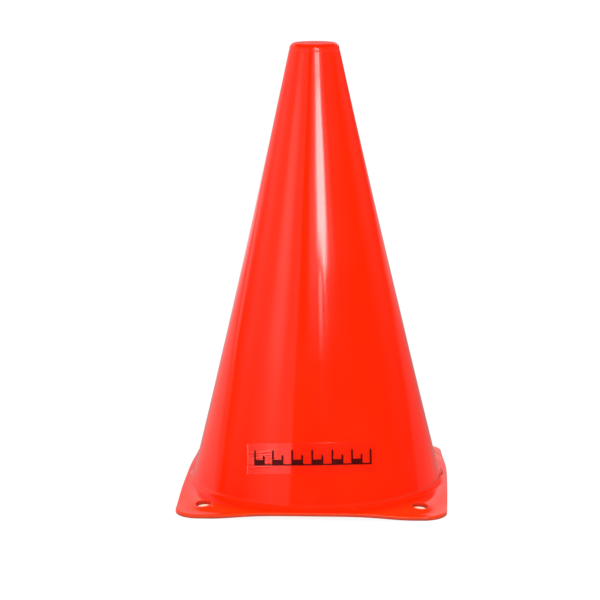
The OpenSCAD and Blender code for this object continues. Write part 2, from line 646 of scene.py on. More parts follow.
    def cut_hole(self, made: PieceMesh, edges: dict[Side, list[int]], centre: Flat) -> None:
        """Fills the gaps of both faces round one hole, and joins them down the hole's wall.

        Args:
            made: The mesh under way.
            edges: Points round the gap in each face.
            centre: Centre of the hole.
        """
        flange = self.flange
        lips = []
        for side, edge in edges.items():
            draft, lip = (flange.hole_draft, flange.hole_lip) if side is Side.UNDER else (0, 0)
            radius = flange.hole_diameter / 2 - draft
            points = [made.points[i] for i in edge]
            rings = [edge]
            for step in range(self.hole_rings - 1, -1, -1):
                flat = self.hole_ring(centre, points, radius + flange.hole_rim, step / self.hole_rings)
                rings.append(made.ring(self.settled(flat, side)))
            for back, drop in flange.rounding(flange.hole_rim, lip):
                flat = self.hole_ring(centre, points, radius + back, 0)
                rings.append(made.ring(self.settled(flat, side, drop)))
            made.chain(rings)
            lips.append(rings[-1])
        made.bridge(*lips)

    def build(self) -> bpy.types.Object:
        """Makes the moulding as one closed mesh.

        Returns:
            The object, without material.
        """
        made, flange = PieceMesh(self.name), self.flange
        outer = made.rings(self.outer_rings())
        made.hard_rings.append(outer[-1])
        outside = outer + made.rings(self.crease_rings(Side.TOP))
        top = made.rings(self.flange_rows(Side.TOP, flange.top_rim))
        under_rim = self.rim_rows(Side.UNDER, flange.under_rim)[::-1]
        edge = made.rings(self.rim_rows(Side.TOP, flange.top_rim) + under_rim)
        under = made.rings(self.flange_rows(Side.UNDER, flange.under_rim))
        inside = made.rings(self.crease_rings(Side.UNDER)[::-1] + self.inner_rings())
        for rows in (top, under):
            for row in range(flange.rows):
                made.bridge(rows[row], rows[row + 1], skip=lambda step, row=row: self.in_patch(row, step))
        for rings in ([*outside, top[0]], [top[-1], *edge, under[-1]], [under[0], *inside]):
            made.chain(rings)
        for corner, centre in self.holes():
            edges = {Side.TOP: self.patch_edge(top, corner), Side.UNDER: self.patch_edge(under, corner)}
            self.cut_hole(made, edges, centre)
        made.close(outside[0], self.wall.around(0, 0, self.crown_level(0)))
        made.close(inside[-1], self.wall.around(0, 0, self.crown_level(0) - self.wall.thickness))
        return made.build()


@dataclass(frozen=True)
class Crease:
    """One fine crease along the film: its place and width as shares of the height, and its strength."""

    place: float
    thin: float
    strength: float


@dataclass
class Label:
    """The clear film on the front of the wall and the plain scale printed on it, in millimetres."""

    wall: ConeWall
    film_name: str = "label_clear_film"
    print_name: str = "label_scale"
    width: float = 68
    height: float = 15.2
    foot: float = 21.5
    tilt: float = math.radians(1.3)
    film: float = 0.15
    glue: float = 0.05
    ink: float = 0.04
    mark_pitch: float = 5
    mark_spaces: int = 12
    mark_width: float = 0.9
    long_mark: float = 7.5
    short_mark: float = 5
    block: float = 2.8
    line: float = 0.6
    lift: float = 4.3
    shift: float = 0.8
    across: int = 170
    up: int = 110
    print_step: float = 0.7
    height_slack: float = 1e-9
    edge_round: float = 0.06
    edge_start: float = -0.1
    edge_drop: float = 0.12
    edge_shares: tuple[float, ...] = (0, 0.35, 0.7, 1)
    creases: tuple[Crease, ...] = (
        Crease(0.5, 0.022, 1), Crease(0.42, 0.016, 0.7), Crease(0.58, 0.02, 0.5),
        Crease(0.33, 0.02, 0.9), Crease(0.68, 0.03, 0.4), Crease(0.2, 0.025, 0.35),
    )
    crease_height: float = 0.05
    crease_reach: float = 21
    crease_full: float = 0.45
    crease_slope: float = 0.004
    crease_bend: float = 0.012
    bend_rate: float = 0.5
    bend_shift: float = 20
    edge_lift: float = 0.14
    edge_lift_width: float = 0.8

    def on_wall(self, x: float, y: float) -> Flat:
        """Place on the wall of a point of the flat label, which is stuck on a little askew.

        Args:
            x: Distance to the right of the label's middle, seen from the front.
            y: Distance above its lower edge.

        Returns:
            Angle round the axis and height above the ground.
        """
        lean = self.wall.lean(self.foot + self.height / 2)
        slant = self.wall.radius(self.foot) / math.sin(lean)
        x, y = Matrix.Rotation(self.tilt, 2) @ Vector((x, y - self.height / 2))
        y += self.height / 2
        reach = math.hypot(x, slant - y)
        angle = math.atan(x / (slant - y)) / math.sin(lean)
        return angle - QUARTER_TURN, self.foot + (slant - reach) * math.cos(lean)

    def rumple(self, x: float, y: float) -> float:
        """How far the film stands off its glue, with creases at its left end and a left edge that lifts.

        Args:
            x: Distance to the right of the label's middle.
            y: Distance above its lower edge.

        Returns:
            The lift in millimetres.
        """
        from_left = x + self.width / 2
        fade = 1 - smooth_share(from_left, self.crease_reach * self.crease_full, self.crease_reach)
        up = y / self.height - self.crease_slope * from_left
        lines = 0.0
        for crease in self.creases:
            bend = self.crease_bend * math.sin(self.bend_rate * from_left + self.bend_shift * crease.place)
            lines += crease.strength * math.exp(-((up - crease.place - bend) / crease.thin) ** 2)
        edge = self.edge_lift * (1 - smooth_share(from_left, 0, self.edge_lift_width))
        return self.crease_height * fade * lines + edge

    def point(self, x: float, y: float, away: float) -> Point:
        """A point of the label on the wall, a given distance off it, the film's creases included."""
        turn, z = self.on_wall(x, y)
        return self.wall.place(turn, z, away + self.rumple(x, y))

    def film_row(self, y: float, side: Side) -> list[Point]:
        """Points of one face of the film, from left to right.

        Args:
            y: Distance above the label's lower edge.
            side: The face.

        Returns:
            The points.
        """
        points = []
        for x in self.crowded(self.width, self.across):
            away = self.glue
            if side is Side.TOP:
                to_edge = min(x, self.width - x, y, self.height - y)
                drop = self.edge_drop * (1 - smooth_share(to_edge, self.edge_start, self.edge_round))
                away += self.film * (1 - drop)
            points.append(self.point(x - self.width / 2, y, away))
        return points

    def build_film(self) -> bpy.types.Object:
        """Makes the film as a thin closed sheet with slightly rounded edges.

        Returns:
            The object, without material.
        """
        made = PieceMesh(self.film_name)
        loops = []
        for side in Side:
            grid = made.rings([self.film_row(y, side) for y in self.crowded(self.height, self.up)])
            made.chain(grid, closed=False)
            loops.append(self.border(grid))
        made.bridge(*loops)
        return made.build()

    @staticmethod
    def border(grid: Sequence[Sequence[int]]) -> list[int]:
        """Numbers of the points round the edge of a grid, in order."""
        right, left = [row[-1] for row in grid[:-1]], [row[0] for row in grid[:0:-1]]
        return [*grid[0][:-1], *right, *grid[-1][:0:-1], *left]

    def crowded(self, length: float, steps: int) -> list[float]:
        """Places along a length, with a few close together at both ends for the edge's rounding.

        Args:
            length: The length.
            steps: Number of even steps between the two ends.

        Returns:
            The places in order.
        """
        near = [self.edge_round * share for share in self.edge_shares]
        inner = [self.edge_round + (length - 2 * self.edge_round) * i / steps for i in range(1, steps)]
        return near + inner + [length - n for n in reversed(near)]

    def top_of(self, x: float) -> float:
        """Height of the printed scale above its foot, at a place along it.

        Args:
            x: Distance to the right of the label's middle.

        Returns:
            The height, 0 where nothing is printed.
        """
        along = x - self.shift + self.mark_pitch * self.mark_spaces / 2
        nearest, space = round(along / self.mark_pitch), math.floor(along / self.mark_pitch)
        on_mark = abs(along - nearest * self.mark_pitch) < self.mark_width / 2
        if on_mark and 0 <= nearest <= self.mark_spaces:
            return self.long_mark if nearest % 2 == 0 else self.short_mark
        if 0 <= space < self.mark_spaces:
            return self.block if space % 2 == 0 else self.line
        return 0.0

    def print_columns(self) -> list[float]:
        """Places of the print's upright edges, with enough steps between them to follow the wall's curve.

        Returns:
            The places from left to right.
        """
        steps_off = [i - self.mark_spaces / 2 for i in range(self.mark_spaces + 1)]
        halves = (-self.mark_width / 2, self.mark_width / 2)
        edges = [self.shift + self.mark_pitch * off + half for off in steps_off for half in halves]
        places = [edges[0]]
        for one, other in zip(edges, edges[1:]):
            steps = math.ceil((other - one) / self.print_step)
            places.extend(one + (other - one) * i / steps for i in range(1, steps + 1))
        return places

    def build_print(self) -> bpy.types.Object:
        """Makes the printed scale as a thin closed layer of ink that follows the film.

        Returns:
            The object, without material.
        """
        made = PieceMesh(self.print_name)
        columns = self.print_columns()
        middle_mark = (self.short_mark + self.long_mark) / 2
        rows = [0, self.line, self.block, self.short_mark, middle_mark, self.long_mark]
        filled = {
            (i, j)
            for i, (one, other) in enumerate(zip(columns, columns[1:]))
            for j, top in enumerate(rows[1:])
            if top <= self.top_of((one + other) / 2) + self.height_slack
        }
        numbers: dict[tuple[int, int, Side], int] = {}

        def number(i: int, j: int, side: Side) -> int:
            """Number of a corner's point, made when it is first asked for.

            Args:
                i: Column of the corner.
                j: Row of the corner.
                side: Face of the ink.

            Returns:
                The point's number.
            """
            if (i, j, side) not in numbers:
                away = self.glue + self.film + (self.ink if side is Side.TOP else 0)
                numbers[i, j, side] = made.ring([self.point(columns[i], self.lift + rows[j], away)])[0]
            return numbers[i, j, side]

        for i, j in sorted(filled):
            corners = [(i, j), (i + 1, j), (i + 1, j + 1), (i, j + 1)]
            beyond = [(i, j - 1), (i + 1, j), (i, j + 1), (i - 1, j)]
            made.faces.append(tuple(number(*corner, Side.TOP) for corner in corners))
            made.faces.append(tuple(number(*corner, Side.UNDER) for corner in reversed(corners)))
            for one, other, next_cell in zip(corners, corners[1:] + corners[:1], beyond):
                if next_cell not in filled:
                    upright = ((one, Side.TOP), (one, Side.UNDER), (other, Side.UNDER), (other, Side.TOP))
                    made.faces.append(tuple(number(*corner, side) for corner, side in upright))
        return made.build(smooth=False)


class NodeBench:
    """Places and joins the nodes of one material, group or world."""

    def __init__(self, tree: bpy.types.NodeTree) -> None:
        """Works on one node tree."""
        self.tree = tree

    def give(self, socket: Socket, value: Given) -> None:
        """Links an output to an input, or sets the input to a plain value.

        Args:
            socket: The input.
            value: A number, a colour or another node's output.
        """
        if isinstance(value, Socket):
            self.tree.links.new(value, socket)
        else:
            socket.default_value = value

    def node(self, kind: str, **settings: object) -> bpy.types.Node:
        """Adds a node.

        Args:
            kind: Blender's name of the node's type, without its ShaderNode start.
            settings: Values of the node's own settings.

        Returns:
            The new node.
        """
        made = self.tree.nodes.new("ShaderNode" + kind)
        for name, value in settings.items():
            setattr(made, name, value)
        return made

    def feed(self, node: bpy.types.Node, **values: Given) -> bpy.types.Node:
        """Sets or links a node's inputs, named with _ for spaces.

        Args:
            node: The node to feed.
            values: For each input a number, a colour or another node's output.

        Returns:
            The same node.
        """
        for name, value in values.items():
            self.give(node.inputs[name.replace("_", " ")], value)
        return node

    def sum_up(self, operation: str, *values: Given) -> Socket:
        """Adds a Math node on numbers or outputs.

        Args:
            operation: Blender's name of the sum.
            values: Numbers or outputs, in order.

        Returns:
            The node's output.
        """
        made = self.node("Math", operation=operation)
        for socket, value in zip(made.inputs, values):
            self.give(socket, value)
        return made.outputs[0]

    def product(self, first: Given, *others: Given) -> Socket:
        """Multiplies numbers or outputs, one after another.

        Args:
            first: The first of them.
            others: The rest.

        Returns:
            The product.
        """
        for other in others:
            first = self.sum_up("MULTIPLY", first, other)
        return first

    def opposite(self, value: Given) -> Socket:
        """1 less a value."""
        return self.sum_up("SUBTRACT", 1.0, value)

    def spread(
        self, value: Given, low: Given, high: Given,
        to_low: float = 0.0, to_high: float = 1.0, smooth: bool = True,
    ) -> Socket:
        """Maps a value from one range to another, held at both ends.

        Args:
            value: Number or output to map.
            low: Start of its range.
            high: End of its range.
            to_low: Result at the start.
            to_high: Result at the end.
            smooth: Whether it eases in and out.

        Returns:
            The mapped value.
        """
        made = self.node("MapRange", interpolation_type="SMOOTHSTEP" if smooth else "LINEAR", clamp=True)
        for socket, given in zip(made.inputs, (value, low, high, to_low, to_high)):
            self.give(socket, given)
        return made.outputs[0]

    def blend_colour(self, share: Given, one: Given, other: Given) -> Socket:
        """Mixes two colours.

        Args:
            share: Number or output, 0 for the first colour and 1 for the second.
            one: The first colour or output.
            other: The second colour or output.

        Returns:
            The mixed colour.
        """
        made = self.node("Mix", data_type="RGBA")
        for index, given in zip(COLOUR_MIX_INPUTS, (share, one, other)):
            self.give(made.inputs[index], given)
        return made.outputs[COLOUR_MIX_OUTPUT]

    def place(self) -> Socket:
        """Coordinates of the object, in metres."""
        return self.node("TexCoord").outputs["Object"]

    def split(self, vector: Socket) -> bpy.types.NodeOutputs:
        """Splits a vector into its X, Y and Z."""
        made = self.feed(self.node("SeparateXYZ"), Vector=vector)
        return made.outputs

    def facing(self) -> bpy.types.NodeOutputs:
        """The way the surface faces, as X, Y and Z."""
        return self.split(self.node("NewGeometry").outputs["Normal"])

    def farther(self, parts: bpy.types.NodeOutputs) -> Socket:
        """Material slots of the record, one for each kind of piece."""
        return self.sum_up("MAXIMUM", *(self.sum_up("ABSOLUTE", parts[axis]) for axis in "XY"))

    def stretched(self, place: Socket, scale: Point, turn: Point = (0, 0, 0)) -> Socket:
        """Stretches and turns coordinates."""
        made = self.node("Mapping", vector_type="POINT")
        return self.feed(made, Vector=place, Scale=scale, Rotation=turn).outputs[0]

    def bump(self, height: Socket, distance: float) -> Socket:
        """A normal that follows a height, of which 1 stands for a given distance."""
        return self.feed(self.node("Bump"), Height=height, Distance=distance, Strength=1.0).outputs[0]

    def show_mix(self, share: Given, one: bpy.types.Node, other: bpy.types.Node) -> None:
        """Shows a mix of two shaders on the surface.

        Args:
            share: 0 for the first shader and 1 for the second.
            one: The first shader.
            other: The second shader.
        """
        mix = self.node("MixShader")
        for socket, value in zip(mix.inputs, (share, one.outputs[0], other.outputs[0])):
            self.give(socket, value)
        self.feed(self.tree.nodes["Material Output"], Surface=mix.outputs[0])


@dataclass(frozen=True)
class Grain:
    """One noise pattern: how fine, detailed and rough it is, and the span of its values that is used."""

    scale: float
    detail: float
    roughness: float = 0.5
    span: Flat = (0, 1)

    def value(self, bench: NodeBench, place: Socket) -> Socket:
        """Places the plain noise.

        Args:
            bench: The bench to place it on.
            place: The coordinates that it follows.

        Returns:
            Its value.
        """
        made = bench.node("TexNoise", noise_dimensions="3D")
        bench.feed(made, Vector=place, Scale=self.scale, Detail=self.detail, Roughness=self.roughness)
        return made.outputs["Fac"]

    def mask(self, bench: NodeBench, place: Socket, least: float = 0.0, most: float = 1.0) -> Socket:
        """Places the noise, with its span spread between a least and a most value."""
        return bench.spread(self.value(bench, place), *self.span, least, most)


class EffectGroup:
    """A shader node group that is shared, built when it is first used."""

    group_name = ""
    inputs: tuple[tuple[str, str, float | None], ...] = ()
    outputs: tuple[str, ...] = ("Mask",)

    @classmethod
    def tree(cls) -> bpy.types.NodeTree:
        """The group's node tree, made on first use.

        Returns:
            The tree with its sockets and nodes.
        """
        found = bpy.data.node_groups.get(cls.group_name)
        if found:
            return found
        tree = bpy.data.node_groups.new(cls.group_name, "ShaderNodeTree")
        for name, kind, value in cls.inputs:
            socket = tree.interface.new_socket(name, in_out="INPUT", socket_type=kind)
            if value is not None:
                socket.default_value = value
        for name in cls.outputs:
            tree.interface.new_socket(name, in_out="OUTPUT", socket_type="NodeSocketFloat")
        given, result = tree.nodes.new("NodeGroupInput"), tree.nodes.new("NodeGroupOutput")
        bench = NodeBench(tree)
        bench.feed(result, **cls.lay_out(bench, given.outputs))
        return tree

    @classmethod
    def lay_out(cls, bench: NodeBench, given: bpy.types.NodeOutputs) -> dict[str, Socket]:
        """Places the group's nodes, and gives the value of each of its outputs."""
        raise NotImplementedError

    @classmethod
    def put_in(cls, bench: NodeBench, **values: Given) -> bpy.types.NodeOutputs:
        """Places the group in a material or a world, with its inputs named with _ for spaces."""
        return bench.feed(bench.node("Group", node_tree=cls.tree()), **values).outputs


class HandlingMarks(EffectGroup):
    """Fine rubs, smudges and hair scratches from stacking and handling."""

    group_name = "handling_marks"
    inputs = (
        ("Vector", "NodeSocketVector", None),
        ("Size", "NodeSocketFloat", 1.0),
        ("Smudges", "NodeSocketFloat", 0.5),
        ("Scratches", "NodeSocketFloat", 0.5),
    )
    outputs = ("Mask", "Height")
    smudge_grain = Grain(26, 4, 0.6, (0.5, 0.72))
    hair_grain = Grain(1, 2, 0.4, (0.66, 0.72))
    strewn_grain = Grain(60, 2, 0.5, (0.52, 0.66))
    hair_stretch: Point = (900, 900, 22)
    hair_turn: Point = (0.03, 0.05, 0)

    @classmethod
    def lay_out(cls, bench: NodeBench, given: bpy.types.NodeOutputs) -> dict[str, Socket]:
        """Mixes broad smudges with thin upright scratches.

        Args:
            bench: The group's bench.
            given: The group's inputs.

        Returns:
            The marks' mask, and their height with the scratches cut in.
        """
        scaled = bench.node("VectorMath", operation="SCALE")
        bench.give(scaled.inputs[0], given["Vector"])
        place = bench.feed(scaled, Scale=given["Size"]).outputs[0]
        smudges = bench.product(cls.smudge_grain.mask(bench, place), given["Smudges"])
        hairs = cls.hair_grain.mask(bench, bench.stretched(place, cls.hair_stretch, cls.hair_turn))
        hairs = bench.product(hairs, cls.strewn_grain.mask(bench, place), given["Scratches"])
        return {"Mask": bench.sum_up("MAXIMUM", smudges, hairs), "Height": bench.product(hairs, -1.0)}


class SettledDust(EffectGroup):
    """Small specks of dust, with more of them on what faces up."""

    group_name = "settled_dust"
    inputs = (
        ("Vector", "NodeSocketVector", None),
        ("Amount", "NodeSocketFloat", 0.5),
        ("Specks per metre", "NodeSocketFloat", 700.0),
    )
    speck_edge: Flat = (0.2, 0.1)
    kept_cells: Flat = (0.93, 0.95)
    facing_span: Flat = (-0.1, 0.9)
    least: float = 0.25

    @classmethod
    def lay_out(cls, bench: NodeBench, given: bpy.types.NodeOutputs) -> dict[str, Socket]:
        """Keeps the middles of some cells as specks.

        Args:
            bench: The group's bench.
            given: The group's inputs.

        Returns:
            The specks' mask.
        """
        cells = bench.node("TexVoronoi", feature="F1")
        bench.feed(cells, Vector=given["Vector"], Scale=given["Specks per metre"])
        near = bench.spread(cells.outputs["Distance"], *cls.speck_edge)
        parts = bench.feed(bench.node("SeparateColor"), Color=cells.outputs["Color"])
        kept = bench.spread(parts.outputs[0], *cls.kept_cells)
        up = bench.spread(bench.facing()["Z"], *cls.facing_span, cls.least, 1.0)
        return {"Mask": bench.product(near, kept, up, given["Amount"])}


class SoftWindow(EffectGroup):
    """1 between two angles and 0 outside them, with a soft edge at each."""

    group_name = "soft_window"
    inputs = (
        ("Angle", "NodeSocketFloat", 0.0),
        ("From", "NodeSocketFloat", 0.0),
        ("From blur", "NodeSocketFloat", 1.0),
        ("To", "NodeSocketFloat", 1.0),
        ("To blur", "NodeSocketFloat", 1.0),
    )

    @classmethod
    def lay_out(cls, bench: NodeBench, given: bpy.types.NodeOutputs) -> dict[str, Socket]:
        """Multiplies a rising and a falling edge.

        Args:
            bench: The group's bench.
            given: The group's inputs.

        Returns:
            The window's mask.
        """
        edges = []
        for name in ("From", "To"):
            half = bench.product(given[name + " blur"], 0.5)
            low, high = (bench.sum_up(way, given[name], half) for way in ("SUBTRACT", "ADD"))
            edges.append(bench.spread(given["Angle"], low, high))
        return {"Mask": bench.product(edges[0], bench.opposite(edges[1]))}

    @classmethod
    def on(cls, bench: NodeBench, angle: Socket, span: Flat, blur: Flat) -> Socket:
        """Places a soft window on an angle."""
        ends = {"From": span[0], "From_blur": blur[0], "To": span[1], "To_blur": blur[1]}
        return cls.put_in(bench, Angle=angle, **ends)["Mask"]


@dataclass(frozen=True)
class Wear:
    """How much handling and dust a finish shows, and how fine they are."""

    size: float
    smudges: float
    scratches: float
    dust: float
    specks: float

    def put_in(self, bench: NodeBench, place: Socket) -> tuple[bpy.types.NodeOutputs, Socket]:
        """Places both shared effects in a material.

        Args:
            bench: The material's bench.
            place: The coordinates that they follow.

        Returns:
            The handling marks' outputs and the dust's mask.
        """
        handled = {"Size": self.size, "Smudges": self.smudges, "Scratches": self.scratches}
        marks = HandlingMarks.put_in(bench, Vector=place, **handled)
        dust = SettledDust.put_in(bench, Vector=place, Amount=self.dust, Specks_per_metre=self.specks)
        return marks, dust["Mask"]


def new_material(name: str) -> tuple[bpy.types.Material, NodeBench, bpy.types.Node]:
    """Makes an empty material with one Principled shader.

    Args:
        name: The material's name.

    Returns:
        The material, its bench and its shader.
    """
    material = bpy.data.materials.new(name)
    material.use_nodes = True
    return material, NodeBench(material.node_tree), material.node_tree.nodes["Principled BSDF"]


@dataclass(frozen=True)
class ShellPlastic:
    """Glossy orange-red plastic of the moulding. Lengths are in metres."""

    name: str = "shell_orange_plastic"
    colour: Colour = (0.96, 0.0185, 0.0006, 1)
    deep: Colour = (0.94, 0.0158, 0.0004, 1)
    # Paler orange of the painted glow on the thin upright rim and plate, for light shining through and off
    # them
    thin: Colour = (0.93, 0.052, 0.004, 1)
    # Darker red of the painted shade in the creases, the groove and the walls of the holes
    painted_shade_colour: Colour = (0.76, 0.032, 0.011, 1)
    # Dark red of the painted shade on what faces down at the foot
    underside_shade_colour: Colour = (0.42, 0.042, 0.022, 1)
    dusty: Colour = (0.95, 0.16, 0.1, 1)
    flow: Grain = Grain(30, 3, 0.55, (0.35, 0.68))
    flow_stretch: Point = (1, 1, 0.28)
    underside_shade_grain: Grain = Grain(240, 3, 0.6, (0.25, 0.6))
    underside_shade_least: float = 0.55
    underside_shade_span: Flat = (0.0042, 0.00252)
    underside_shade_facing: Flat = (0.35, -0.2)
    rim_reach: float = 0.06
    rim_top: float = 0.0052
    rim_blend: float = 0.0003
    rim_facing: Flat = (0.7, 0.45)
    plate_reach: Flat = (0.068, 0.077)
    plate_painted_glow: float = 0.5
    crease_shade_grain: Grain = Grain(160, 3, 0.6, (0.25, 0.6))
    crease_shade_least: float = 0.6
    crease_shade_core: float = 0.4
    crease: Flat = (0.006, 0.0009)
    crease_shade_strength: Flat = (0.35, 0.65)
    crease_facing: Flat = (0.25, 0.9)
    groove: Flat = (0.22635, 0.0006)
    groove_shade_strength: float = 0.6
    ior: float = 1.5
    gloss: float = 0.052
    rubbed: float = 0.2
    crown_span: Flat = (0.2293, 0.2297)
    crown_scuffed: float = 0.4
    ripple: Grain = Grain(38, 1, 0.4)
    ripple_height: float = 0.00002
    ripple_stretch: Point = (1, 1, 0.6)
    scratch_depth: float = 0.04
    wear: Wear = Wear(1.0, 0.2, 0.4, 0.5, 620.0)

    def make(self) -> bpy.types.Material:
        """Builds the material.

        Returns:
            The material, with flow marks and dust in its colour, a painted glow on the flange's rim and
            plate, painted shade in the creases, the groove, the hole walls and under the flange, rubs in its
            gloss and a faint ripple.
        """
        material, bench, shader = new_material(self.name)
        place = bench.place()
        marks, dust = self.wear.put_in(bench, place)
        rim, hole, plate = self.foot_masks(bench, place)
        flow = self.flow.mask(bench, bench.stretched(place, self.flow_stretch))
        colour = bench.blend_colour(flow, self.colour, self.deep)
        colour = bench.blend_colour(dust, colour, self.dusty)
        # Painted glow: the upright rim and part of the thin plate are made paler orange, as light through
        # the thin plastic would make them
        glow = bench.sum_up("MAXIMUM", rim, bench.product(plate, self.plate_painted_glow))
        colour = bench.blend_colour(glow, colour, self.thin)
        # Painted shade: the creases, the groove and the walls of the holes are made darker red
        painted_shade = bench.sum_up("MAXIMUM", self.painted_shade(bench, place), hole)
        colour = bench.blend_colour(painted_shade, colour, self.painted_shade_colour)
        # Painted shade on the low faces of the flange that look down
        colour = bench.blend_colour(self.painted_underside_shade(bench, place), colour, self.underside_shade_colour)
        worn = bench.sum_up("MAXIMUM", marks["Mask"], dust)
        roughness = bench.spread(worn, 0.0, 1.0, self.gloss, self.rubbed, smooth=False)
        scuffed = bench.spread(bench.split(place)["Z"], *self.crown_span, 0.0, self.crown_scuffed)
        roughness = bench.sum_up("MAXIMUM", roughness, scuffed)
        ripple = self.ripple.value(bench, bench.stretched(place, self.ripple_stretch))
        height = bench.sum_up("MULTIPLY_ADD", marks["Height"], self.scratch_depth, ripple)
        normal = bench.bump(height, self.ripple_height)
        bench.feed(shader, Base_Color=colour, Roughness=roughness, Normal=normal, IOR=self.ior)
        return material

    def foot_masks(self, bench: NodeBench, place: Socket) -> tuple[Socket, Socket, Socket]:
        """The parts of the flange that get painted light, unlike the wall.

        Args:
            bench: The material's bench.
            place: The coordinates that the pattern follows.

        Returns:
            Masks of its upright rim and of its whole thin plate, which get a painted glow, and of the walls
            of its holes, which get painted shade.
        """
        parts = bench.split(place)
        squares = (bench.product(parts[axis], parts[axis]) for axis in "XY")
        radius = bench.sum_up("SQRT", bench.sum_up("ADD", *squares))
        outer = bench.spread(bench.farther(parts), self.rim_reach, self.rim_reach + MM)
        low = bench.spread(parts["Z"], self.rim_top, self.rim_top - self.rim_blend)
        upright = bench.product(bench.spread(bench.facing()["Z"], *self.rim_facing), low)
        beyond = bench.spread(radius, *self.plate_reach)
        hole = bench.product(upright, bench.opposite(outer), beyond)
        return bench.product(upright, outer), hole, bench.product(beyond, low)

    def painted_shade(self, bench: NodeBench, place: Socket) -> Socket:
        """Painted shade in the two creases, at the foot of the wall and in the groove under the crown,
        patchy, and at the foot stronger where the wall faces left or right.

        Args:
            bench: The material's bench.
            place: The coordinates that the pattern follows.

        Returns:
            The mask.
        """
        height = bench.split(place)["Z"]
        bands = []
        for middle, half in (self.crease, self.groove):
            off = bench.sum_up("ABSOLUTE", bench.sum_up("SUBTRACT", height, middle))
            bands.append(bench.spread(off, half, self.crease_shade_core * half))
        sideways = bench.sum_up("ABSOLUTE", bench.facing()["X"])
        foot = bench.product(bands[0], bench.spread(sideways, *self.crease_facing, *self.crease_shade_strength))
        both = bench.sum_up("MAXIMUM", foot, bench.product(bands[1], self.groove_shade_strength))
        return bench.product(both, self.crease_shade_grain.mask(bench, place, self.crease_shade_least))

    def painted_underside_shade(self, bench: NodeBench, place: Socket) -> Socket:
        """Painted shade, with a patchy grain, on what faces down at the foot, such as the lower edge of the
        flange.

        Args:
            bench: The material's bench.
            place: The coordinates that the pattern follows.

        Returns:
            The mask.
        """
        low = bench.spread(bench.split(place)["Z"], *self.underside_shade_span)
        down = bench.spread(bench.facing()["Z"], *self.underside_shade_facing)
        return bench.product(low, down, self.underside_shade_grain.mask(bench, place, self.underside_shade_least))


@dataclass(frozen=True)
class ClearFilm:
    """Clear self-adhesive film, a little milky, glossier than the plastic under it."""

    name: str = "label_clear_film"
    colour: Colour = (1.0, 0.96, 0.95, 1)
    ior: float = 1.5
    gloss: float = 0.07
    rubbed: float = 0.11
    reflectance_ior: float = 1.87
    milk: Grain = Grain(110, 3, 0.5, (0.3, 0.8))
    haze: Flat = (0.0024, 0.006)
    dust_cover: float = 0.5
    scratch_depth: float = 0.000002
    wear: Wear = Wear(1.4, 0.05, 0.2, 0.2, 900.0)

    def make(self) -> bpy.types.Material:
        """Builds the material.

        Returns:
            The material, clear but for its shine, its haze and its dust, and fully clear from behind.
        """
        material, bench, shader = new_material(self.name)
        place = bench.place()
        marks, dust = self.wear.put_in(bench, place)
        roughness = bench.spread(marks["Mask"], 0.0, 1.0, self.gloss, self.rubbed, smooth=False)
        normal = bench.bump(marks["Height"], self.scratch_depth)
        bench.feed(shader, Base_Color=self.colour, Roughness=roughness, Normal=normal, IOR=self.ior)
        bench.feed(shader, Metallic=1.0)
        shine = bench.feed(bench.node("Fresnel"), IOR=self.reflectance_ior, Normal=normal).outputs[0]
        cover = bench.sum_up("ADD", shine, self.milk.mask(bench, place, *self.haze))
        cover = bench.sum_up("ADD", cover, bench.product(dust, self.dust_cover))
        behind = bench.node("NewGeometry").outputs["Backfacing"]
        cover = bench.product(cover, bench.opposite(behind))
        bench.show_mix(cover, bench.node("BsdfTransparent"), shader)
        return material


@dataclass(frozen=True)
class PrintedInk:
    """Dark maroon ink of the printed scale, thin enough to be a little uneven."""

    name: str = "label_dark_ink"
    colour: Colour = (0.05, 0.003, 0.003, 1)
    thin: Colour = (0.16, 0.006, 0.005, 1)
    dusty: Colour = (0.4, 0.2, 0.18, 1)
    unevenness: Grain = Grain(900, 4, 0.65, (0.5, 0.75))
    ior: float = 1.33
    gloss: float = 0.1
    rubbed: float = 0.2
    thickness: float = 0.000003
    wear: Wear = Wear(2.0, 0.6, 0.8, 0.3, 900.0)

    def make(self) -> bpy.types.Material:
        """Builds the material.

        Returns:
            The material, with thin patches and rubs.
        """
        material, bench, shader = new_material(self.name)
        place = bench.place()
        marks, dust = self.wear.put_in(bench, place)
        patchy = self.unevenness.mask(bench, place)
        colour = bench.blend_colour(dust, bench.blend_colour(patchy, self.colour, self.thin), self.dusty)
        roughness = bench.spread(marks["Mask"], 0.0, 1.0, self.gloss, self.rubbed, smooth=False)
        normal = bench.bump(patchy, self.thickness)
        bench.feed(shader, Base_Color=colour, Roughness=roughness, Normal=normal, IOR=self.ior)
        return material


@dataclass(frozen=True)
class StudioLight:
    """One soft light of the studio, as the gloss sees it: its reach in degrees and its brightness.

    Azimuth 0 is towards the front and grows to the right, and elevation is above the floor.
    """

    azimuth: Flat
    azimuth_blur: Flat
    elevation: Flat
    elevation_blur: Flat
    level: float
    slant: float = 0.0

    def seen(self, bench: NodeBench, azimuth: Socket, elevation: Socket) -> Socket:
        """Brightness of the light in a direction.

        Args:
            bench: The world's bench.
            azimuth: Azimuth of the direction.
            elevation: Elevation of the direction.

        Returns:
            The brightness.
        """
        across = SoftWindow.on(bench, azimuth, self.azimuth, self.azimuth_blur)
        offset = bench.sum_up("SUBTRACT", azimuth, sum(self.azimuth) / 2)
        height = bench.sum_up("MULTIPLY_ADD", offset, -self.slant, elevation)
        up = SoftWindow.on(bench, height, self.elevation, self.elevation_blur)
        return bench.product(across, up, self.level)


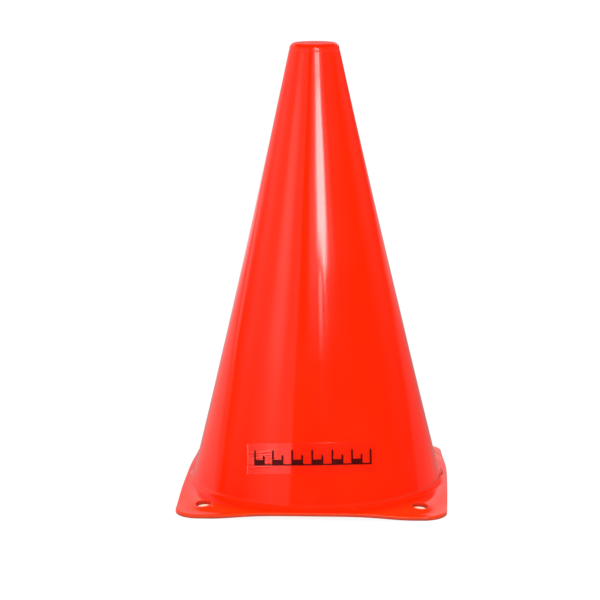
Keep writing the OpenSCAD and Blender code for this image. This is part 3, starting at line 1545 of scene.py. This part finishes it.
@dataclass
class Studio:
    """The pale floor, the soft lights round the cone and the camera. Lengths are in metres."""

    camera_place: Point = (0.0527, -1.0863, 0.3140)
    camera_turn: float = 0.0560
    camera_pitch: float = 0.19662
    camera_roll: float = -0.00507
    lens: float = 128.85
    floor_half: float = 30.0
    floor_own_light: float = 0.9
    floor_in_gloss: Flat = (0.45, 0.2)
    floor_gloss_span: Flat = (-0.3, 0.3)
    floor_behind: float = 2.1
    floor_behind_span: Flat = (0.1, 0.9)
    floor_far: float = 0.45
    floor_far_span: Flat = (0.8, 5.0)
    floor_share: float = 0.12
    floor_roughness: float = 0.9
    floor_colour: Colour = (0.9, 0.9, 0.9, 1)
    # Painted warm bounce light on the floor under the cone, in its colour and its own light
    painted_bounce_colour: Colour = (1.25, 0.81, 0.6, 1)
    bounce_reach: Flat = (0.0605, 0.0645)
    fill: float = 1.22
    fill_front_left: float = 0.19
    front_left: Flat = (-150, 30)
    front_left_blur: Flat = (90, 90)
    darkest: float = 0.02
    lights: tuple[StudioLight, ...] = (
        # The tall narrow light of the bright strip, its hot lower edge and the steps under it
        StudioLight((4.0, 23.2), (10, 9), (16.05, 45), (1.0, 10), 5.3, -0.06),
        StudioLight((7.0, 23.2), (6, 6), (16.5, 19.4), (0.8, 2.4), 8.2),
        StudioLight((12.0, 21.6), (3, 3), (15.6, 16.5), (0.5, 0.8), 6.4, -0.04),
        StudioLight((14.8, 18.8), (2, 2), (15.05, 16.2), (0.4, 0.6), 5.8),
        StudioLight((7.4, 12.4), (2.5, 2.5), (14.75, 15.5), (0.7, 0.6), 5.0),
        # The glow round the strip
        StudioLight((-7, 34), (12, 12), (14.9, 45), (1.8, 10), 1.05),
        # The broad panel to the front left, which ends in an upright edge across the label
        StudioLight((-78, -22.5), (22, 3.5), (7.5, 40), (6, 20), 0.34),
        StudioLight((-62, -41), (16, 16), (11, 17), (5, 6), 0.95),
        # The pale wall to the left and behind
        StudioLight((-190, -82), (1, 30), (6, 35), (7, 8), 0.5),
        StudioLight((-172, -120), (8, 16), (-30, 5), (1, 7), 0.45),
        StudioLight((-140, -100), (10, 10), (-3, 1.2), (1, 0.6), 0.22),
        StudioLight((-140, -82), (10, 20), (2.6, 9), (1.2, 8), 0.07),
        # The dimmer wall to the right and behind
        StudioLight((100, 190), (30, 1), (4, 28), (12, 10), 0.17),
        StudioLight((160, 190), (8, 1), (5, 30), (5, 10), 0.44),
        StudioLight((28, 110), (14, 30), (14.5, 40), (6, 20), 0.18),
    )

    def place_camera(self) -> bpy.types.Object:
        """Puts the camera where the photograph was taken from.

        Returns:
            The camera.
        """
        data = bpy.data.cameras.new("camera")
        data.lens = self.lens
        camera = bpy.data.objects.new("camera", data)
        turn = Matrix.Rotation(self.camera_turn, 4, "Z")
        pitch = Matrix.Rotation(QUARTER_TURN - self.camera_pitch, 4, "X")
        roll = Matrix.Rotation(self.camera_roll, 4, "Z")
        camera.matrix_world = Matrix.Translation(self.camera_place) @ turn @ pitch @ roll
        bpy.context.scene.collection.objects.link(camera)
        bpy.context.scene.camera = camera
        return camera

    def lay_floor(self) -> bpy.types.Object:
        """Lays the pale floor, which keeps the cone's shadow and is as bright as the backdrop elsewhere.

        Returns:
            The floor.
        """
        half = self.floor_half
        mesh = bpy.data.meshes.new("floor")
        corners = [(-half, -half, 0), (half, -half, 0), (half, half, 0), (-half, half, 0)]
        mesh.from_pydata(corners, [], [(0, 1, 2, 3)])
        mesh.materials.append(self.floor_finish())
        floor = bpy.data.objects.new("floor", mesh)
        bpy.context.scene.collection.objects.link(floor)
        return floor

    def floor_finish(self) -> bpy.types.Material:
        """Builds the floor's material.

        Returns:
            The material, matt with a light of its own, and with a painted warm glow under the cone for the
            cone's colour that falls on it.
        """
        material, bench, shader = new_material("pale_floor")
        parts = bench.split(bench.place())
        reach = bench.farther(parts)
        # Painted bounce light: warm under the cone, white beyond
        outside = bench.spread(reach, *self.bounce_reach)
        colour = bench.blend_colour(outside, self.painted_bounce_colour, self.floor_colour)
        bench.feed(shader, Base_Color=colour, Roughness=self.floor_roughness, Specular_IOR_Level=0.0)
        path = bench.node("LightPath").outputs
        own = bench.product(path["Is Camera Ray"], 1.0 - self.floor_share)
        share = bench.sum_up("MAXIMUM", own, path["Is Glossy Ray"])
        in_gloss = bench.spread(parts["X"], *self.floor_gloss_span, *self.floor_in_gloss)
        behind = bench.sum_up("SUBTRACT", parts["Y"], bench.sum_up("ABSOLUTE", parts["X"]))
        behind = bench.spread(behind, *self.floor_behind_span, 1.0, self.floor_behind)
        far = bench.spread(reach, *self.floor_far_span, 1.0, self.floor_far)
        in_gloss = bench.product(in_gloss, behind, far)
        in_view = self.floor_own_light / (1.0 - self.floor_share)
        strength = self.choose(bench, path["Is Glossy Ray"], in_view, in_gloss)
        bounce_tint = bench.blend_colour(outside, self.painted_bounce_colour, WHITE)
        glow = bench.feed(bench.node("Emission"), Color=bounce_tint, Strength=strength)
        bench.show_mix(share, shader, glow)
        return material

    def light_room(self) -> bpy.types.World:
        """Builds the room: white behind the cone, an even fill on it, and the soft lights in its gloss.

        Returns:
            The world.
        """
        world = bpy.data.worlds.new("studio")
        bpy.context.scene.world = world
        world.use_nodes = True
        bench = NodeBench(world.node_tree)
        x, y, z = bench.split(bench.node("TexCoord").outputs["Generated"])
        azimuth = bench.sum_up("DEGREES", bench.sum_up("ARCTAN2", x, bench.product(y, -1.0)))
        elevation = bench.sum_up("DEGREES", bench.sum_up("ARCSINE", z))
        level: Given = self.darkest
        for light in self.lights:
            level = bench.sum_up("ADD", level, light.seen(bench, azimuth, elevation))
        level = bench.sum_up("MAXIMUM", level, self.darkest)
        front_left = SoftWindow.on(bench, azimuth, self.front_left, self.front_left_blur)
        fill = bench.sum_up("MULTIPLY_ADD", front_left, self.fill_front_left, self.fill)
        path = bench.node("LightPath").outputs
        gloss_or_fill = self.choose(bench, path["Is Glossy Ray"], fill, level)
        strength = self.choose(bench, path["Is Camera Ray"], gloss_or_fill, 1.0)
        bench.feed(world.node_tree.nodes["Background"], Color=WHITE, Strength=strength)
        world.cycles.sampling_method = "NONE"
        return world

    @staticmethod
    def choose(bench: NodeBench, switch: Socket, off: Given, on: Given) -> Socket:
        """Gives one of two numbers or outputs, by a switch that is 0 or 1."""
        kept = bench.product(bench.opposite(switch), off)
        return bench.sum_up("MULTIPLY_ADD", switch, on, kept)


def dress(piece: bpy.types.Object, material: bpy.types.Material, slot: Slot, *nodes: str) -> None:
    """Gives a piece its material, ties it to the body and hides the CAD nodes that it stands for.

    Args:
        piece: The finished piece.
        material: Its material.
        slot: Not used.
        nodes: The CAD nodes that it replaces.
    """
    piece.data.materials.append(material)
    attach(piece, BODY)
    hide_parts(*nodes)
    LOG.info("%s: %d points, %d faces", piece.name, len(piece.data.vertices), len(piece.data.polygons))


def main() -> None:
    """Builds the studio and the cone's pieces in order."""
    logging.basicConfig(level=logging.INFO, format="%(name)s: %(message)s")
    bpy.context.scene.view_settings.view_transform = "Standard"
    studio = Studio()
    studio.place_camera()
    studio.lay_floor()
    studio.light_room()
    moulding = Moulding()
    dress(moulding.build(), ShellPlastic().make(), Slot.SHELL, "cone_shell")
    label = Label(moulding.wall)
    dress(label.build_film(), ClearFilm().make(), Slot.FILM, "label_film")
    dress(label.build_print(), PrintedInk().make(), Slot.INK, "label_print")


if __name__ == "__main__":
    main()
